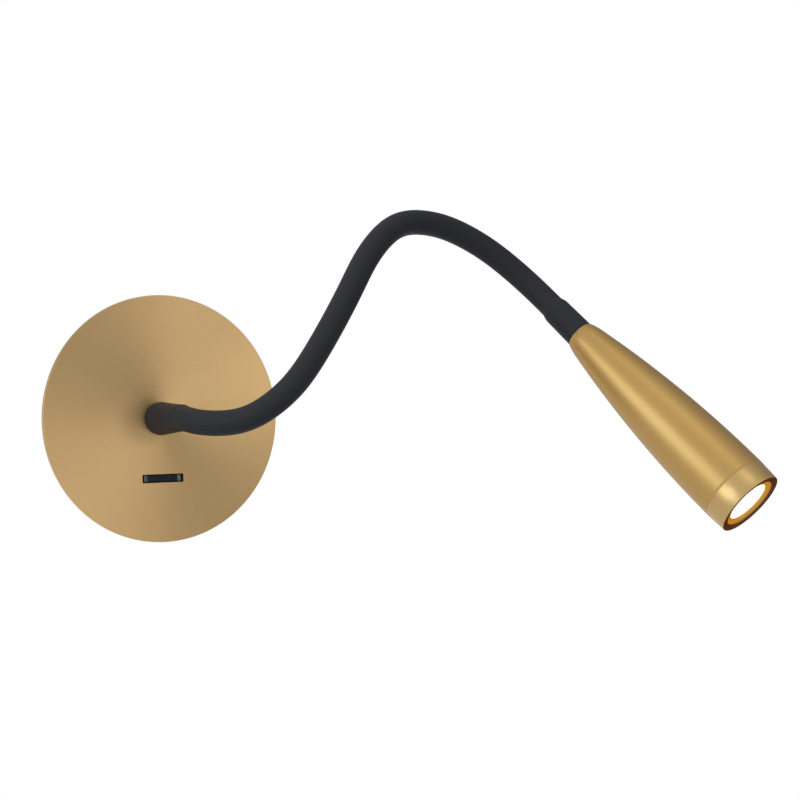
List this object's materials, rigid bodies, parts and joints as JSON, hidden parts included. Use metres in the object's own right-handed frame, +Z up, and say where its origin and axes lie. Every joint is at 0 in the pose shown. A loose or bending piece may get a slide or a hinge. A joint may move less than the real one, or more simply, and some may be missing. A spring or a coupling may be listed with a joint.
{
  "type": "flexible arm wall light",
  "caption": "Round wall plate with a small rocker switch, a black bendable arm and a slim tapered spotlight head.",
  "frame": {"origin": "centre of the wall bracket's back face, which lies on the wall", "axes": "+Z up, +Y into the wall, -Y into the room, +X to the right when facing the wall from the room"},
  "size_m": [0.3081, 0.1958, 0.1573],
  "materials": {
    "satin_gold": "satin brass-coloured anodised, fine turned lines",
    "gold_plate": "satin brass-coloured plating, circular brushing",
    "bright_gold": "brass-coloured, smoother than the shell",
    "black_rubber": "matt, very slightly grained",
    "spiral_steel": "plain wound steel",
    "zinc_steel": "zinc plated",
    "turned_steel": "turned, plain",
    "black_paint": "matt powder coat",
    "black_plastic": "matt",
    "rocker_plastic": "semi-gloss, blue black",
    "white_plastic": "matt",
    "ivory_plastic": "matt",
    "cable_jacket": "smooth insulation",
    "lead_insulation": "smooth insulation",
    "contact_brass": "plain",
    "diffuser": "frosted, lit from behind",
    "white_reflector": "white",
    "chip_phosphor": "yellow phosphor",
    "board": "white solder mask on an aluminium board",
    "sink_metal": "turned, plain"
  },
  "bodies": {
    "base": {"wall_bracket": "zinc_steel", "cable_grommet": "black_rubber", "back_can": "black_paint", "side_screws": "zinc_steel", "face_plate": "gold_plate", "stud_nuts": "zinc_steel", "base_ferrule": "turned_steel", "lock_washer": "zinc_steel", "lock_nut": "zinc_steel", "base_collar": "black_rubber", "base_leads": "lead_insulation", "switch_case": "black_plastic", "switch_contacts": "contact_brass", "switch_pin": "turned_steel", "driver_case": "white_plastic", "terminal_block": "ivory_plastic", "terminal_screws": "contact_brass"},
    "rocker": {"rocker": "rocker_plastic"},
    "link_1": {"sleeve_1": "black_rubber", "core_1": "spiral_steel", "cable_1": "cable_jacket"},
    "link_2": {"sleeve_2": "black_rubber", "core_2": "spiral_steel", "cable_2": "cable_jacket"},
    "link_3": {"sleeve_3": "black_rubber", "core_3": "spiral_steel", "cable_3": "cable_jacket"},
    "link_4": {"sleeve_4": "black_rubber", "core_4": "spiral_steel", "cable_4": "cable_jacket"},
    "link_5": {"sleeve_5": "black_rubber", "core_5": "spiral_steel", "cable_5": "cable_jacket"},
    "link_6": {"sleeve_6": "black_rubber", "core_6": "spiral_steel", "cable_6": "cable_jacket"},
    "link_7": {"sleeve_7": "black_rubber", "core_7": "spiral_steel", "cable_7": "cable_jacket"},
    "link_8": {"sleeve_8": "black_rubber", "core_8": "spiral_steel", "cable_8": "cable_jacket"},
    "link_9": {"sleeve_9": "black_rubber", "core_9": "spiral_steel", "cable_9": "cable_jacket"},
    "link_10": {"sleeve_10": "black_rubber", "core_10": "spiral_steel", "cable_10": "cable_jacket"},
    "head": {"head_collar": "black_rubber", "head_ferrule": "turned_steel", "head_nut": "zinc_steel", "head_shell": "satin_gold", "front_ring": "satin_gold", "bezel_ring": "bright_gold", "lens": "diffuser", "reflector": "white_reflector", "light_chip": "chip_phosphor", "light_board": "board", "heat_sink": "sink_metal", "head_leads": "lead_insulation"}
  },
  "joints": [
    {"name": "bend_1", "type": "hinge", "parent": "base", "child": "link_1", "pos_m": [0, -0.0545, 0], "axis": [-1, 0, 0], "range_deg": [-10, 15]},
    {"name": "bend_2", "type": "hinge", "parent": "link_1", "child": "link_2", "pos_m": [0.00701, -0.07852, -0.00276], "axis": [0, 0, -1], "range_deg": [-14, 15]},
    {"name": "bend_3", "type": "hinge", "parent": "link_2", "child": "link_3", "pos_m": [0.02511, -0.09489, 0.00349], "axis": [-0.4695, -0.8829, 0], "range_deg": [-15, 15]},
    {"name": "bend_4", "type": "hinge", "parent": "link_3", "child": "link_4", "pos_m": [0.0427, -0.10113, 0.0211], "axis": [-0.8085, 0.0282, 0.5878], "range_deg": [-15, 15]},
    {"name": "bend_5", "type": "hinge", "parent": "link_4", "child": "link_5", "pos_m": [0.05771, -0.10019, 0.04226], "axis": [0.2079, -0.9781, 0], "range_deg": [-15, 15]},
    {"name": "bend_6", "type": "hinge", "parent": "link_5", "child": "link_6", "pos_m": [0.07214, -0.09603, 0.06347], "axis": [-0.7501, -0.3031, 0.5878], "range_deg": [-15, 15]},
    {"name": "bend_7", "type": "hinge", "parent": "link_6", "child": "link_7", "pos_m": [0.08856, -0.08939, 0.08228], "axis": [-0.3746, 0.9272, 0], "range_deg": [-15, 15]},
    {"name": "bend_8", "type": "hinge", "parent": "link_7", "child": "link_8", "pos_m": [0.1112, -0.08269, 0.09105], "axis": [0.0515, 0.0091, 0.9986], "range_deg": [-15, 15]},
    {"name": "bend_9", "type": "hinge", "parent": "link_8", "child": "link_9", "pos_m": [0.13616, -0.08014, 0.08557], "axis": [-0.0175, -0.9998, 0], "range_deg": [-15, 15]},
    {"name": "bend_10", "type": "hinge", "parent": "link_9", "child": "link_10", "pos_m": [0.15793, -0.08247, 0.07187], "axis": [0.6273, -0.1681, 0.7604], "range_deg": [-15, 15]},
    {"name": "bend_11", "type": "hinge", "parent": "link_10", "child": "head", "pos_m": [0.17372, -0.09209, 0.05427], "axis": [-0.8387, -0.5446, 0], "range_deg": [-15, 15]},
    {"name": "rocker_tilt", "type": "hinge", "parent": "base", "child": "rocker", "pos_m": [0, -0.01886, -0.029], "axis": [0, 0, -1], "range_deg": [0, 12]}
  ]
}
